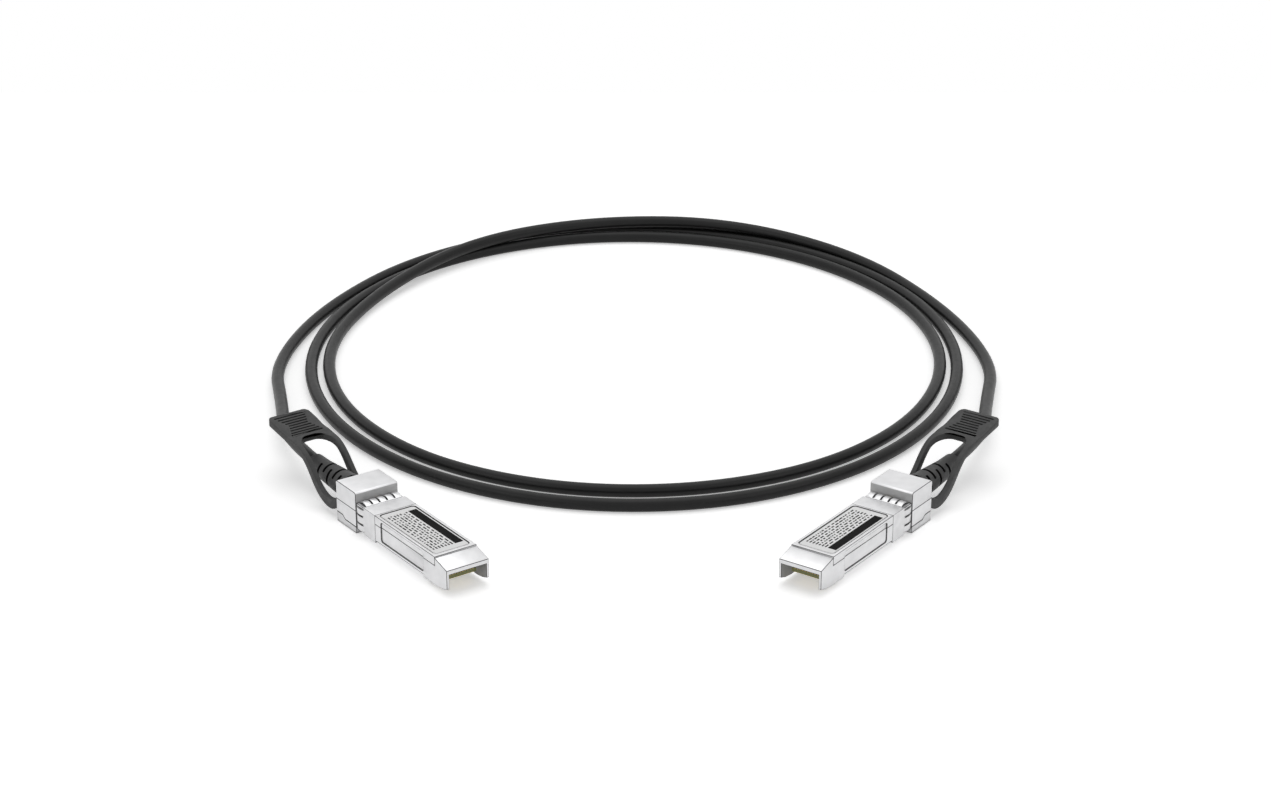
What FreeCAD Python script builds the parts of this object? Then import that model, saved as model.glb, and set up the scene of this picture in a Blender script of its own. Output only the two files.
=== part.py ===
"""A direct attach copper cable: two pluggable connectors on one twinaxial cable.

Each connector is built in its own frame: X across the plug, Y from the nose tip
towards the cable, Z up from the body's underside. The cable lies in a loose coil.
Lengths are in millimetres. The floor is Z = 0 and the nodes are written to parts/.
"""
import FreeCAD, Part
import math
import os
import re

import Sketcher

SIZES = {
    # where the two plugs lie
    "plug_yaw": 35.2, "nose_aside": 44.5, "nose_forward": 40.13, "lift": 1.1,
    # die-cast body
    "body_width": 13.4, "body_height": 8.5, "parting": 5.9, "wall": 1.2, "floor_wall": 0.9,
    "roof_wall": 1.1, "tip_bottom": 1.07, "tip_top": 6.6, "tip_chin": 2.1, "chin_length": 5.0,
    "nose_top": 8.15, "mouth_depth": 10.4, "mouth_wall": 0.8, "mouth_roof": 1.3,
    "bridge": 1.6, "cover_front": 6.0, "cover_corner": 0.5, "collar_front": 37.4,
    "edge_bevel": 0.8, "cavity_end": 43.6, "joint_gap": 0.1,
    # side recess and label
    "recess_front": 12.0, "recess_back": 34.2, "recess_low": 1.7, "recess_high": 7.6,
    "recess_depth": 0.3, "recess_corner": 0.8, "label_front": 7.4, "label_back": 36.8,
    "label_width": 11.4, "label_recess": 0.25, "label_sheet": 0.15, "label_margin": 0.3,
    "label_corner": 1.2,
    # head
    "head_front": 47.5, "head_back": 58.3, "head_width": 13.7, "head_top": 11.4,
    "head_round": 0.7, "head_skirt_low": 1.0, "head_skirt_high": 2.0,
    "skirt_step_front": 53.6, "skirt_step_back": 55.0,
    # shielding collar
    "sheet": 0.25, "finger_root": 43.4, "finger_tip": 47.2, "finger_bow": 3.0,
    "side_bow": 6.2, "finger_panel": 11.5, "finger_pitch": 2.4,
    "finger_slot": 0.5, "side_panel": 6.6, "side_pitch": 2.6,
    # latch
    "boss_width": 2.6, "boss_length": 2.8, "boss_depth": 0.55, "boss_setback": 2.5,
    "boss_lead": 1.0, "latch_width": 6.3, "latch_depth": 0.8, "travel": 2.5,
    "wing": 0.7, "tine_width": 1.3, "tine_spacing": 4.5, "tine_root": 0.9,
    "tine_depth": 0.4, "tine_rise": 0.6,
    # pull tab
    "arm": 1.5, "arm_spacing": 10.8, "arm_low": 2.65, "arm_high": 5.75, "arm_front": 49.2,
    "post_front": 50.0, "post_length": 1.6, "post_width": 0.8, "lane_back": 57.1,
    "tab_width": 13.2, "pad_front": 82.3, "pad_back": 98.3, "pad_thick": 1.9,
    "pad_rise": 8.65, "tab_dip": 1.9, "pad_tilt": 7.5, "pad_corner": 2.0, "grip_count": 9,
    "grip_first": 3.57, "grip_pitch": 1.335, "grip_width": 0.55, "grip_depth": 0.4,
    "grip_length": 9.9, "grip_waist": 6.1,
    # cable and its anchorage
    "cable_diameter": 3.9, "core_start": 47.0, "cable_start": 62.0, "first_run": 38.0,
    "ferrule_wall": 0.4, "ferrule_length": 6.0,
    "flange_radius": 4.1, "flange_front": 53.2, "neck_front": 56.6, "neck_radius": 3.4,
    "boot_root": 4.15, "boot_end": 2.95, "cone_back": 77.0, "boot_back": 82.0,
    "slot_width": 0.9, "slot_core": 2.45, "slot_pitch": 2.9, "slot_first": 60.6,
    "slot_angle": 125.0,
    # card inside the plug
    "card_front": 3.2, "card_back": 30.0, "card_width": 9.2, "card_low": 2.25,
    "card_thick": 1.0, "contact_pitch": 0.8, "contact_width": 0.5, "contact_length": 3.4,
    "contact_thick": 0.06, "pair_wire": 0.8, "pair_spacing": 7.0, "pair_pitch": 1.0,
    "pair_strip": 1.5, "chip_front": 16.0, "chip_length": 3.0, "chip_width": 4.0,
    "chip_thick": 1.1, "capacitor_front": 23.0, "capacitor_length": 1.0,
    "capacitor_width": 0.5, "capacitor_thick": 0.5,
    # screw
    "screw_back": 33.0, "screw_shank": 0.6, "screw_head": 1.3, "screw_sink": 0.8,
    "screw_post": 1.4, "screw_top": 7.2,
}
CONTACTS = 10
# the four wires across the card, where each has its capacitor and its solder pad
WIRES = ["%d * pair_spacing / 2 + %s * pair_pitch" % (pair, half)
         for pair, half in ((-1, -0.5), (-1, 0.5), (1, -0.5), (1, 0.5))]

doc = FreeCAD.newDocument("direct_attach_cable")
sheet = doc.addObject("Spreadsheet::Sheet", "Sizes")
for row, (alias, size) in enumerate(SIZES.items(), 1):
    sheet.set("A%d" % row, alias)
    sheet.set("B%d" % row, str(size))
    sheet.setAlias("B%d" % row, alias)
doc.recompute()
nodes = []


def formula(text):
    """Puts the sheet's name before each alias in a formula."""
    return re.sub(r"[a-z_]+", lambda m: "Sizes." + m[0] if m[0] in SIZES else m[0], str(text))


def value(text):
    """The number that a formula gives."""
    return float(sheet.evalExpression(formula(text)))


def bind(thing, **sizes):
    """Ties properties of an object to formulas; a double underscore stands for a dot."""
    for name, text in sizes.items():
        thing.setExpression(name.replace("__", "."), formula(text))


def seat(thing, side, label):
    """Names a plug piece and stands it where its plug lies: side is -1 left, 1 right."""
    thing.Label = ("left_" if side < 0 else "right_") + label
    thing.Placement = FreeCAD.Placement(FreeCAD.Vector(0, 0, 0),
                                        FreeCAD.Rotation(FreeCAD.Vector(0, 0, 1), 10))
    bind(thing, Placement__Base__x="%d * nose_aside" % side, Placement__Base__y="-nose_forward",
         Placement__Base__z="lift", Placement__Rotation__Angle="%d * plug_yaw" % -side)
    nodes.append(thing)
    return thing


def new_body(name):
    return doc.addObject("PartDesign::Body", name)


def sketch(body, plane, at="0", axis_height="0"):
    """A sketch on one of the body's own origin planes, moved out by the formula at."""
    sk = body.newObject("Sketcher::SketchObject", "Sketch")
    origin_plane = next(f for f in body.Origin.OriginFeatures if f.Role == plane + "_Plane")
    sk.AttachmentSupport = [(origin_plane, "")]
    sk.MapMode = "FlatFace"
    bind(sk, AttachmentOffset__Base__z=at, AttachmentOffset__Base__y=axis_height)
    return sk


def pin(sk, geo, end, x, y):
    """Fixes a point of a sketch at two formulas measured from the sketch's origin."""
    for kind, text in (("DistanceX", x), ("DistanceY", y)):
        index = sk.addConstraint(Sketcher.Constraint(kind, -1, 1, geo, end, value(text)))
        sk.renameConstraint(index, "%s%d" % (kind[-1].lower(), index))
        sk.setExpression("Constraints.%s%d" % (kind[-1].lower(), index), formula(text))


def outline(sk, corners):
    """A closed outline. A corner is (x, y), or (x, y, radius) where an arc starts: a positive
    radius keeps the arc's centre on the left of the way to the next corner."""
    spots = [FreeCAD.Vector(value(c[0]), value(c[1]), 0) for c in corners]
    pieces, starts = [], []
    for i, corner in enumerate(corners):
        a, b = spots[i], spots[(i + 1) % len(spots)]
        piece = Part.LineSegment(a, b)
        if len(corner) == 3:
            piece = shallow_arc(a, b, value(corner[2]))
        pieces.append(sk.addGeometry(piece))
        starts.append(1 if (sk.Geometry[pieces[i]].StartPoint - a).Length < 1e-6 else 2)
    for i, corner in enumerate(corners):
        sk.addConstraint(Sketcher.Constraint("Coincident", pieces[i - 1], 3 - starts[i - 1],
                                             pieces[i], starts[i]))
        pin(sk, pieces[i], starts[i], corner[0], corner[1])
    for piece, corner in zip(pieces, corners):
        if len(corner) == 3:
            fix_radius(sk, piece, "abs(%s)" % corner[2])
    return sk


def shallow_arc(a, b, radius):
    """The shorter arc between a and b; a positive radius puts its centre on the left."""
    chord = b - a
    left = FreeCAD.Vector(-chord.y, chord.x, 0).normalize() * math.copysign(1, radius)
    centre = (a + b) / 2 + left * math.sqrt(radius ** 2 - (chord.Length / 2) ** 2)
    start, end = (a, b) if radius > 0 else (b, a)
    angles = [math.atan2(p.y - centre.y, p.x - centre.x) for p in (start, end)]
    if angles[1] < angles[0]:
        angles[1] += 2 * math.pi
    return Part.ArcOfCircle(Part.Circle(centre, FreeCAD.Vector(0, 0, 1), abs(radius)), *angles)


def fix_radius(sk, geo, radius):
    index = sk.addConstraint(Sketcher.Constraint("Radius", geo, value(radius)))
    sk.renameConstraint(index, "r%d" % index)
    sk.setExpression("Constraints.r%d" % index, formula(radius))


def rectangle(sk, x0, y0, x1, y1):
    return outline(sk, [(x0, y0), (x1, y0), (x1, y1), (x0, y1)])


def panel(sk, x0, y0, x1, y1, radius):
    """A rectangle with rounded corners."""
    left, right = "%s + %s" % (x0, radius), "%s - %s" % (x1, radius)
    low, high = "%s + %s" % (y0, radius), "%s - %s" % (y1, radius)
    return outline(sk, [(left, y0), (right, y0, radius), (x1, low), (x1, high, radius),
                        (right, y1), (left, y1, radius), (x0, high), (x0, low, radius)])


def circle(sk, x, y, radius):
    geo = sk.addGeometry(Part.Circle(FreeCAD.Vector(value(x), value(y), 0),
                                     FreeCAD.Vector(0, 0, 1), value(radius)))
    pin(sk, geo, 3, x, y)
    fix_radius(sk, geo, radius)
    return sk


def grow(body, kind, profile, length, both_ways=False, backwards=False):
    """A Pad or Pocket of a sketch."""
    feature = body.newObject("PartDesign::" + kind, kind)
    feature.Profile = profile
    bind(feature, Length=length)
    feature.SideType = "Symmetric" if both_ways else "One side"
    feature.Reversed = backwards
    profile.Visibility = False
    return feature


def turn(body, kind, profile, angle="360", both_ways=False, axis="H_Axis"):
    """A Revolution or Groove about one of the sketch's own axes."""
    feature = body.newObject("PartDesign::" + kind, kind)
    feature.Profile = profile
    feature.ReferenceAxis = (profile, [axis])
    bind(feature, Angle=angle)
    feature.Midplane = both_ways
    return feature


def mirrored(body, features):
    """The same features on the other side of the plug's middle plane."""
    doc.recompute()
    mirror = body.newObject("PartDesign::Mirrored", "Mirrored")
    mirror.Originals = features
    plane = next(f for f in body.Origin.OriginFeatures if f.Role == "YZ_Plane")
    mirror.MirrorPlane = (plane, [""])
    body.Tip = mirror
    return mirror


def cable_bore(body):
    """Steps of the bore that grips the ferrule, the boot's flange and its neck."""
    bore = sketch(body, "YZ", axis_height="parting")
    ferrule = "cable_diameter / 2 + ferrule_wall + joint_gap"
    outline(bore, [("cavity_end - wall", "0"), ("cavity_end - wall", ferrule), ("flange_front", ferrule),
                   ("flange_front", "flange_radius"), ("neck_front", "flange_radius"),
                   ("neck_front", "neck_radius"), ("head_back + wall", "neck_radius"),
                   ("head_back + wall", "0")])
    turn(body, "Groove", bore)


def side_recess(body):
    """The shallow panel pressed into both flanks, across the parting line."""
    hollow = panel(sketch(body, "YZ", at="body_width / 2 - recess_depth"), "recess_front",
                   "recess_low", "recess_back", "recess_high", "recess_corner")
    mirrored(body, [grow(body, "Pocket", hollow, "recess_depth + wall", backwards=True)])


def base_shell(side):
    """Lower casting: nose, floor, head core with the lanes of the pull tab, latch boss."""
    body = new_body("base_shell")
    nose = outline(sketch(body, "YZ"), [
        ("0", "tip_bottom"), ("tip_chin", "tip_bottom / 3"), ("chin_length", "0"),
        ("collar_front", "0"), ("collar_front", "parting"), ("cover_front", "parting"),
        ("cover_front", "nose_top"), ("0", "tip_top")])
    grow(body, "Pad", nose, "body_width", both_ways=True)
    waist = rectangle(sketch(body, "YZ"), "collar_front", "sheet", "head_front", "parting")
    grow(body, "Pad", waist, "body_width - 2 * sheet", both_ways=True)
    core = rectangle(sketch(body, "YZ"), "head_front", "0", "head_back", "parting")
    grow(body, "Pad", core, "head_width - 2 * (wing + joint_gap)", both_ways=True)
    cheek = outline(sketch(body, "YZ"), [
        ("head_front", "head_skirt_low"), ("skirt_step_front", "head_skirt_low"),
        ("skirt_step_back", "head_skirt_high"), ("head_back", "head_skirt_high"),
        ("head_back", "parting"), ("head_front", "parting")])
    grow(body, "Pad", cheek, "head_width", both_ways=True)
    mouth_and_cavity(body)
    screw_seat(body)
    cable_bore(body)
    tab_lanes(body)
    latch(body)
    bevel = outline(sketch(body, "XZ", at="-(mouth_depth + bridge)"), [
        ("body_width / 2 - edge_bevel", "0"), ("body_width / 2 + wall", "0 - edge_bevel - wall"),
        ("body_width / 2 + wall", "edge_bevel + wall")])
    mirrored(body, [grow(body, "Pocket", bevel, "collar_front - mouth_depth - bridge")])
    side_recess(body)
    return seat(body, side, "base_shell")


def mouth_and_cavity(body):
    """The open mouth, the slot that holds the card and the hollow behind it."""
    half = "body_width / 2 - "
    mouth = rectangle(sketch(body, "XZ"), "mouth_wall - body_width / 2", "-1",
                      half + "mouth_wall", "tip_top - mouth_roof")
    grow(body, "Pocket", mouth, "mouth_depth")
    throat = rectangle(sketch(body, "XY", at="parting"), "-card_width / 2 - joint_gap",
                       "mouth_depth - wall", "card_width / 2 + joint_gap", "mouth_depth + bridge + wall")
    grow(body, "Pocket", throat, "parting - card_low")
    cavity = rectangle(sketch(body, "XY", at="parting"), "wall - body_width / 2",
                       "mouth_depth + bridge", half + "wall", "cavity_end")
    grow(body, "Pocket", cavity, "parting - floor_wall")


def screw_seat(body):
    """The post that the screw passes, bored from below."""
    post = circle(sketch(body, "XY", at="floor_wall"), "0", "screw_back", "screw_post")
    grow(body, "Pad", post, "parting - floor_wall")
    hole = circle(sketch(body, "XY"), "0", "screw_back", "screw_shank + joint_gap")
    grow(body, "Pocket", hole, "parting", backwards=True)
    sink = circle(sketch(body, "XY"), "0", "screw_back", "screw_head + joint_gap")
    grow(body, "Pocket", sink, "screw_sink", backwards=True)


def tab_lanes(body):
    """On each side: a lane for the pull tab's arm over a pit for the slide's post."""
    inner = "(arm_spacing - arm) / 2 - joint_gap"
    outer = "(arm_spacing + arm) / 2 + joint_gap"
    front = "arm_front - joint_gap"
    lane = rectangle(sketch(body, "XY", at="parting"), inner, front, outer, "head_back + wall")
    pit = rectangle(sketch(body, "XY", at="arm_low"), inner, front, outer, "lane_back")
    mirrored(body, [grow(body, "Pocket", lane, "parting - arm_low + joint_gap"),
                    grow(body, "Pocket", pit, "arm_low + wall")])


def latch(body):
    """The boss that the cage's tongue catches, and the hollow of the two tines behind it."""
    hollow = rectangle(sketch(body, "XY"), "-latch_width / 2", "head_front - boss_setback",
                       "latch_width / 2", "head_front + tine_root + travel + joint_gap")
    grow(body, "Pocket", hollow, "latch_depth", backwards=True)
    shoulder = "head_front - boss_setback"
    boss = outline(sketch(body, "YZ"), [
        (shoulder + " - boss_length", "sheet"), (shoulder, "-boss_depth"),
        (shoulder, "latch_depth + sheet"), (shoulder + " - boss_length", "latch_depth + sheet")])
    grow(body, "Pad", boss, "boss_width", both_ways=True)


def top_shell(side):
    """Upper casting: cover with the label's recess, waist under the collar, head."""
    body = new_body("top_shell")
    cover = outline(sketch(body, "YZ"), [
        ("cover_front + cover_corner", "parting"), ("collar_front", "parting"),
        ("collar_front", "body_height"), ("cover_front", "body_height"),
        ("cover_front", "parting + cover_corner", "cover_corner")])
    grow(body, "Pad", cover, "body_width", both_ways=True)
    waist = rectangle(sketch(body, "YZ"), "collar_front", "parting", "head_front", "body_height - sheet")
    grow(body, "Pad", waist, "body_width - 2 * sheet", both_ways=True)
    head = outline(sketch(body, "YZ"), [
        ("head_front", "parting"), ("head_back", "parting"),
        ("head_back", "head_top - head_round", "head_round"), ("head_back - head_round", "head_top"),
        ("head_front + head_round", "head_top", "head_round"), ("head_front", "head_top - head_round")])
    grow(body, "Pad", head, "head_width", both_ways=True)
    cavity = rectangle(sketch(body, "XY", at="parting"), "wall - body_width / 2",
                       "cover_front + wall", "body_width / 2 - wall", "cavity_end")
    grow(body, "Pocket", cavity, "body_height - roof_wall - parting", backwards=True)
    post = circle(sketch(body, "XY", at="parting"), "0", "screw_back", "screw_post")
    grow(body, "Pad", post, "body_height - roof_wall - parting")
    hole = circle(sketch(body, "XY", at="parting"), "0", "screw_back", "screw_shank")
    grow(body, "Pocket", hole, "screw_top - parting", backwards=True)
    cable_bore(body)
    recess = panel(sketch(body, "XY", at="body_height"), "-label_width / 2", "label_front",
                   "label_width / 2", "label_back", "label_corner")
    grow(body, "Pocket", recess, "label_recess")
    side_recess(body)
    return seat(body, side, "top_shell")


def emi_collar(side):
    """Sprung sheet band round the waist, with arched fingers on all four faces."""
    body = new_body("emi_collar")
    band = sketch(body, "XZ", at="-collar_front")
    rectangle(band, "-body_width / 2", "0", "body_width / 2", "body_height")
    rectangle(band, "sheet - body_width / 2", "sheet", "body_width / 2 - sheet", "body_height - sheet")
    grow(body, "Pad", band, "finger_root - collar_front", backwards=True)
    top = outline(sketch(body, "YZ"), [
        ("finger_root", "body_height - sheet"), ("finger_root", "body_height", "-finger_bow"),
        ("finger_tip", "body_height"), ("finger_tip", "body_height - sheet", "finger_bow")])
    grow(body, "Pad", top, "finger_panel", both_ways=True)
    under = outline(sketch(body, "YZ", at="latch_width / 2 + sheet"), [
        ("finger_root", "sheet"), ("finger_root", "0", "side_bow"),
        ("finger_tip", "0"), ("finger_tip", "sheet", "-side_bow")])
    flank = outline(sketch(body, "XY", at="(body_height - side_panel) / 2"), [
        ("body_width / 2", "finger_root", "side_bow"), ("body_width / 2", "finger_tip"),
        ("body_width / 2 - sheet", "finger_tip", "-side_bow"),
        ("body_width / 2 - sheet", "finger_root")])
    mirrored(body, [grow(body, "Pad", under, "(finger_panel - latch_width) / 2 - sheet"),
                    grow(body, "Pad", flank, "side_panel")])
    slits = sketch(body, "XY", at="body_height + wall")
    for place in (-1.5, -0.5, 0.5, 1.5):
        middle = "%s * finger_pitch" % place
        rectangle(slits, middle + " - finger_slot / 2", "finger_root + sheet",
                  middle + " + finger_slot / 2", "finger_tip + sheet")
    grow(body, "Pocket", slits, "wall + 2 * sheet")
    cuts = sketch(body, "YZ", at="body_width / 2 + wall")
    for place in (-0.5, 0.5):
        middle = "body_height / 2 + %s * side_pitch" % place
        rectangle(cuts, "finger_root + sheet", middle + " - finger_slot / 2",
                  "finger_tip + sheet", middle + " + finger_slot / 2")
    mirrored(body, [grow(body, "Pocket", cuts, "wall + 2 * sheet")])
    notch = rectangle(sketch(body, "XY", at="2 * sheet"), "-boss_width / 2 - sheet",
                      "head_front - boss_setback - boss_length - sheet", "boss_width / 2 + sheet",
                      "finger_root + sheet")
    grow(body, "Pocket", notch, "wall")
    return seat(body, side, "emi_collar")


def label(side):
    """A thin sheet lying in the cover's recess."""
    body = new_body("label")
    sheet_outline = panel(sketch(body, "XY", at="body_height - label_recess"),
                          "label_margin - label_width / 2", "label_front + label_margin",
                          "label_width / 2 - label_margin", "label_back - label_margin",
                          "(label_corner - label_margin)")
    grow(body, "Pad", sheet_outline, "label_sheet")
    return seat(body, side, "label")


def paddle_card(side):
    """The circuit board whose bare edge is the plug's contact tongue."""
    body = new_body("paddle_card")
    board = rectangle(sketch(body, "XY", at="card_low"), "-card_width / 2", "card_front",
                      "card_width / 2", "card_back")
    grow(body, "Pad", board, "card_thick")
    return seat(body, side, "paddle_card")


def edge_contacts(side):
    """A row of gold contacts on each face of the card's edge."""
    body = new_body("edge_contacts")
    body.AllowCompound = True
    rows = {"card_low + card_thick": False, "card_low - contact_thick": False}
    for height in rows:
        contacts = sketch(body, "XY", at=height)
        for i in range(CONTACTS):
            left = "%s * contact_pitch - contact_width / 2" % (i - (CONTACTS - 1) / 2)
            rectangle(contacts, left, "card_front", left + " + contact_width",
                      "card_front + contact_length")
        grow(body, "Pad", contacts, "contact_thick")
    return seat(body, side, "edge_contacts")


def board_parts(side):
    """The small memory chip and the coupling capacitors on the card."""
    body = new_body("board_parts")
    body.AllowCompound = True
    chip = rectangle(sketch(body, "XY", at="card_low + card_thick"), "-chip_width / 2", "chip_front",
                     "chip_width / 2", "chip_front + chip_length")
    grow(body, "Pad", chip, "chip_thick")
    small = sketch(body, "XY", at="card_low + card_thick")
    for wire in WIRES:
        rectangle(small, wire + " - capacitor_width / 2", "capacitor_front",
                  wire + " + capacitor_width / 2", "capacitor_front + capacitor_length")
    grow(body, "Pad", small, "capacitor_thick")
    return seat(body, side, "board_parts")


def signal_pairs(side):
    """Four insulated wires from the card's pads to the end of the jacket."""
    radius = value("pair_wire / 2")
    start_y, end_y = value("card_back - pair_strip"), value("core_start - 3 * joint_gap")
    start_z, end_z = value("card_low + card_thick") + radius, value("parting")
    wires = []
    for number, wire in enumerate(WIRES):
        a = FreeCAD.Vector(value(wire), start_y, start_z)
        b = FreeCAD.Vector(value("%s * (pair_wire + joint_gap)" % (number - 1.5)), end_y, end_z)
        wires.append(Part.makeCylinder(radius, (b - a).Length, a, b - a))
    thing = doc.addObject("Part::Feature", "signal_pairs")
    thing.Shape = Part.makeCompound(wires)
    return seat(thing, side, "signal_pairs")


def crimp_ferrule(side):
    """The crimped sleeve that anchors the jacket in the head."""
    body = new_body("crimp_ferrule")
    sleeve = rectangle(sketch(body, "YZ", axis_height="parting"), "core_start", "cable_diameter / 2",
                       "core_start + ferrule_length", "cable_diameter / 2 + ferrule_wall")
    turn(body, "Revolution", sleeve)
    return seat(body, side, "crimp_ferrule")


def jacket_end(side):
    """The cut end of the jacket, gripped by the ferrule and the boot."""
    body = new_body("jacket_end")
    end = rectangle(sketch(body, "YZ", axis_height="parting"), "core_start", "0", "cable_start",
                    "cable_diameter / 2")
    turn(body, "Revolution", end)
    return seat(body, side, "jacket_end")


def boot(side):
    """Moulded strain relief: flange and neck in the head, slotted cone and plain sleeve."""
    body = new_body("boot")
    hole = "cable_diameter / 2"
    profile = outline(sketch(body, "YZ", axis_height="parting"), [
        ("flange_front + joint_gap", hole), ("boot_back", hole), ("boot_back", "boot_end"),
        ("cone_back", "boot_end"), ("head_back + joint_gap", "boot_root"),
        ("head_back + joint_gap", "neck_radius - joint_gap"),
        ("neck_front - joint_gap", "neck_radius - joint_gap"),
        ("neck_front - joint_gap", "flange_radius - joint_gap"),
        ("flange_front + joint_gap", "flange_radius - joint_gap")])
    turn(body, "Revolution", profile)
    for row, up in ((0, 1), (0, -1), (1, 1), (1, -1)):
        flat = sketch(body, "YZ", axis_height="parting") if row == 0 else sketch(body, "XY", at="parting")
        for turn_number in range(row, 6, 2):
            front = "slot_first + %d * slot_pitch" % turn_number
            near, far = "%d * slot_core" % up, "%d * (slot_core + wall + wall)" % up
            if row == 0:
                rectangle(flat, front, near, front + " + slot_width", far)
            else:
                rectangle(flat, near, front, far, front + " + slot_width")
        turn(body, "Groove", flat, "slot_angle", both_ways=True, axis="H_Axis" if row == 0 else "V_Axis")
    return seat(body, side, "boot")


def release_slide(side):
    """Metal slide under the head: plate, side wings, two tines and two posts."""
    body = new_body("release_slide")
    front = "head_front + 2 * joint_gap"
    plate = rectangle(sketch(body, "XY", at="-lift"), "-head_width / 2", front, "head_width / 2",
                      "head_back")
    grow(body, "Pad", plate, "lift - joint_gap")
    wings = outline(sketch(body, "YZ", at="head_width / 2 - wing"), [
        (front, "-lift"), ("head_back", "-lift"), ("head_back", "head_skirt_high - joint_gap"),
        ("skirt_step_back", "head_skirt_high - joint_gap"),
        ("skirt_step_front", "head_skirt_low - joint_gap"), (front, "head_skirt_low - joint_gap")])
    tip = "head_front - boss_setback + "
    tines = outline(sketch(body, "YZ", at="(tine_spacing - tine_width) / 2"), [
        (tip + "2 * joint_gap", "0"), (tip + "boss_lead", "-tine_depth"),
        ("head_front + tine_root", "-tine_depth"), ("head_front + tine_root", "tine_rise"),
        (tip + "2 * joint_gap", "tine_rise")])
    posts = rectangle(sketch(body, "XY", at="-2 * joint_gap"), "(arm_spacing - post_width) / 2",
                      "post_front", "(arm_spacing + post_width) / 2", "post_front + post_length")
    mirrored(body, [grow(body, "Pad", wings, "wing"), grow(body, "Pad", tines, "tine_width"),
                    grow(body, "Pad", posts, "arm_high + joint_gap")])
    return seat(body, side, "release_slide")


def return_springs(side):
    """A folded strip in each pit, between the slide's post and the pit's end wall."""
    body = new_body("return_springs")
    body.AllowCompound = True
    folds = 6
    step = "(lane_back - post_front - post_length - 4 * joint_gap) / %d" % folds
    start = "post_front + post_length + 2 * joint_gap"
    low, high = "2 * joint_gap", "arm_low - 4 * joint_gap - 3 * sheet"
    edge = [("%s + %d * %s" % (start, i, step), high if i % 2 else low) for i in range(folds + 1)]
    strip = outline(sketch(body, "YZ", at="(arm_spacing - post_width) / 2"),
                    edge + [(y, height + " + 3 * sheet") for y, height in reversed(edge)])
    mirrored(body, [grow(body, "Pad", strip, "post_width")])
    return seat(body, side, "return_springs")


def shell_screw(side):
    """The screw that holds the two castings together, sunk in the underside."""
    body = new_body("shell_screw")
    profile = sketch(body, "YZ")
    bind(profile, AttachmentOffset__Base__x="screw_back")
    outline(profile, [("0", "joint_gap"), ("screw_head", "joint_gap"), ("screw_head", "screw_sink"),
                      ("screw_shank", "screw_sink"), ("screw_shank", "screw_top"), ("0", "screw_top")])
    turn(body, "Revolution", profile, axis="V_Axis")
    return seat(body, side, "shell_screw")


def bend(before, corner, after, radius):
    """The arc of a radius that joins two straight runs at their corner."""
    into = (corner - before).normalize()
    out = (after - corner).normalize()
    half_turn = into.getAngle(out) / 2
    reach = radius * math.tan(half_turn)
    start, end = corner - into * reach, corner + out * reach
    inward = (out - into).normalize()
    middle = corner + inward * (radius / math.cos(half_turn) - radius)
    return Part.Arc(start, middle, end)


def rounded(corners):
    """A closed flat outline of (x, y, corner radius)."""
    spots = [FreeCAD.Vector(x, y, 0) for x, y, _ in corners]
    arcs = [bend(spots[i - 1], spots[i], spots[(i + 1) % len(spots)], corners[i][2])
            for i in range(len(spots)) if corners[i][2]]
    ends, edges = [], []
    for i, spot in enumerate(spots):
        if corners[i][2]:
            arc = arcs.pop(0)
            ends.append((arc.StartPoint, arc.EndPoint))
            edges.append(arc.toShape())
        else:
            ends.append((spot, spot))
    for i in range(len(spots)):
        edges.append(Part.LineSegment(ends[i - 1][1], ends[i][0]).toShape())
    return Part.Face(Part.Wire(Part.__sortEdges__(edges)))


# The pull tab seen from the side, as shares of the way from the head to the pad and of the
# pad's rise, then shares of the pad's length.
CLIMB = [(0.03, 0.0), (0.45, 0.0), (0.66, 0.56), (0.86, 0.93)]
DIP_AT = 0.21
PAD_SHARES = (0.0, 0.35, 0.7, 1.0)
STRAP_STEPS = 16
STRAP_THINS_BY = 0.625


def strap_side(reach):
    """Side view of the pull tab: level arm, low dip, climb and tilted pad, as a face."""
    mid = value("(arm_low + arm_high) / 2")
    thick, thin = value("arm_high - arm_low"), value("pad_thick")
    run, rise = value("pad_front - head_back"), value("pad_rise")
    tilt = math.tan(math.radians(value("pad_tilt")))
    back = value("pad_back - pad_front")
    spots = [FreeCAD.Vector(0, value("head_back") + s * run, mid + lift * rise)
             for s, lift in CLIMB[:1] + [(DIP_AT, -value("tab_dip") / rise)] + CLIMB[1:]]
    spots += [FreeCAD.Vector(0, value("pad_front") + s * back, mid + rise + s * back * tilt)
              for s in PAD_SHARES]
    middle = Part.BSplineCurve()
    middle.interpolate(spots)
    edges = ([], [])
    for i in range(STRAP_STEPS + 1):
        share = i / STRAP_STEPS
        u = middle.FirstParameter + (middle.LastParameter - middle.FirstParameter) * share
        along = middle.tangent(u)[0]
        half = (thick + (thin - thick) * min(1, share / STRAP_THINS_BY)) / 2
        normal = FreeCAD.Vector(0, -along.z, along.y).normalize()
        if i == 0:
            normal = FreeCAD.Vector(0, 0, 1)
        for edge, way in zip(edges, (1, -1)):
            edge.append(middle.value(u) + normal * (half * way))
    sides = []
    for edge, way in zip(edges, (1, -1)):
        curve = Part.BSplineCurve()
        curve.interpolate(edge)
        front = FreeCAD.Vector(0, reach, mid + way * thick / 2)
        sides.append((front, [Part.LineSegment(front, edge[0]).toShape(), curve.toShape()], edge[-1]))
    caps = [Part.LineSegment(sides[0][0], sides[1][0]).toShape(),
            Part.LineSegment(sides[0][2], sides[1][2]).toShape()]
    return Part.Face(Part.Wire(Part.__sortEdges__(sides[0][1] + sides[1][1] + caps)))


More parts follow.
